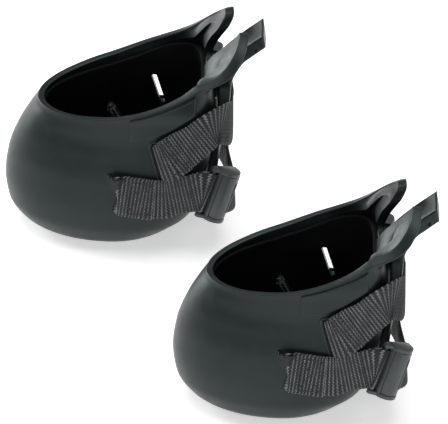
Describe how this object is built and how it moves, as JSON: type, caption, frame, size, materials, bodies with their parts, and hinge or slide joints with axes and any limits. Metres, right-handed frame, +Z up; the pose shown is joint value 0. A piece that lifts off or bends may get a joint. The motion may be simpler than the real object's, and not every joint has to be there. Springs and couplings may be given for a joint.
{
  "type": "rubber knee pads",
  "caption": "Moulded rubber knee pads: each a deep cup with a foam lining, flared back wings, a rubber tongue and webbing straps with cam buckles.",
  "frame": {"origin": "centre of the base of the box round both pads, on the floor", "axes": "+X from the bulging fronts to the open backs, +Y from the right pad towards the left pad, +Z up"},
  "size_m": [0.3869, 0.4401, 0.2082],
  "materials": {
    "moulded_rubber": "satin, smooth moulded",
    "sponge_rubber": "matte sponge",
    "webbing": "coarse woven polypropylene",
    "buckle_plastic": "satin",
    "rivet_steel": "dull nickel plate"
  },
  "bodies": {
    "left_pad": {"left_shell": "moulded_rubber", "left_foam_liner": "sponge_rubber", "left_knee_cushion": "sponge_rubber", "left_near_rim_band": "moulded_rubber", "left_far_rim_band": "moulded_rubber", "left_back_panel": "moulded_rubber", "left_lower_anchor_strap": "webbing", "left_lower_strap": "webbing", "left_upper_strap": "webbing", "left_upper_anchor_strap": "webbing", "left_lower_near_keeper": "rivet_steel", "left_lower_far_keeper": "rivet_steel", "left_upper_near_keeper": "rivet_steel", "left_lower_buckle_frame": "buckle_plastic", "left_lower_buckle_pin": "rivet_steel", "left_upper_buckle_frame": "buckle_plastic", "left_upper_buckle_pin": "rivet_steel", "left_front_rivet": "rivet_steel", "left_front_washer": "rivet_steel", "left_rear_rivet": "rivet_steel", "left_rear_washer": "rivet_steel", "left_near_heel_rivet": "rivet_steel", "left_far_heel_rivet": "rivet_steel"},
    "left_lower_lever": {"left_lower_buckle_lever": "buckle_plastic"},
    "left_upper_lever": {"left_upper_buckle_lever": "buckle_plastic"},
    "left_tongue": {"left_back_tongue": "moulded_rubber"},
    "right_pad": {"right_shell": "moulded_rubber", "right_foam_liner": "sponge_rubber", "right_knee_cushion": "sponge_rubber", "right_near_rim_band": "moulded_rubber", "right_far_rim_band": "moulded_rubber", "right_back_panel": "moulded_rubber", "right_lower_anchor_strap": "webbing", "right_lower_strap": "webbing", "right_upper_strap": "webbing", "right_upper_anchor_strap": "webbing", "right_lower_near_keeper": "rivet_steel", "right_lower_far_keeper": "rivet_steel", "right_upper_near_keeper": "rivet_steel", "right_lower_buckle_frame": "buckle_plastic", "right_lower_buckle_pin": "rivet_steel", "right_upper_buckle_frame": "buckle_plastic", "right_upper_buckle_pin": "rivet_steel", "right_front_rivet": "rivet_steel", "right_front_washer": "rivet_steel", "right_rear_rivet": "rivet_steel", "right_rear_washer": "rivet_steel", "right_near_heel_rivet": "rivet_steel", "right_far_heel_rivet": "rivet_steel"},
    "right_lower_lever": {"right_lower_buckle_lever": "buckle_plastic"},
    "right_upper_lever": {"right_upper_buckle_lever": "buckle_plastic"},
    "right_tongue": {"right_back_tongue": "moulded_rubber"}
  },
  "joints": [
    {"name": "left_lower_lever_hinge", "type": "hinge", "parent": "left_pad", "child": "left_lower_lever", "pos_m": [-0.00136, 0.07769, 0.06469], "axis": [-0.3244, -0.1873, -0.9272], "range_deg": [0, 50]},
    {"name": "left_upper_lever_hinge", "type": "hinge", "parent": "left_pad", "child": "left_upper_lever", "pos_m": [-0.00734, 0.20799, 0.11737], "axis": [-0.1251, 0.061, 0.9903], "range_deg": [0, 50]},
    {"name": "left_tongue_flex", "type": "hinge", "parent": "left_pad", "child": "left_tongue", "pos_m": [0.0115, 0.143, 0.1518], "axis": [0, 1, 0], "range_deg": [0, 20], "stiffness_Nm_per_rad": 1},
    {"name": "right_pad_lift", "type": "slide", "parent": "left_pad", "child": "right_pad", "axis": [0, 0, 1], "range_m": [0, 0.25]},
    {"name": "right_lower_lever_hinge", "type": "hinge", "parent": "right_pad", "child": "right_lower_lever", "pos_m": [0.15064, -0.20831, 0.06469], "axis": [-0.3244, -0.1873, -0.9272], "range_deg": [0, 50]},
    {"name": "right_upper_lever_hinge", "type": "hinge", "parent": "right_pad", "child": "right_upper_lever", "pos_m": [0.14466, -0.07801, 0.11737], "axis": [-0.1251, 0.061, 0.9903], "range_deg": [0, 50]},
    {"name": "right_tongue_flex", "type": "hinge", "parent": "right_pad", "child": "right_tongue", "pos_m": [0.1635, -0.143, 0.1518], "axis": [0, 1, 0], "range_deg": [0, 20], "stiffness_Nm_per_rad": 1}
  ]
}
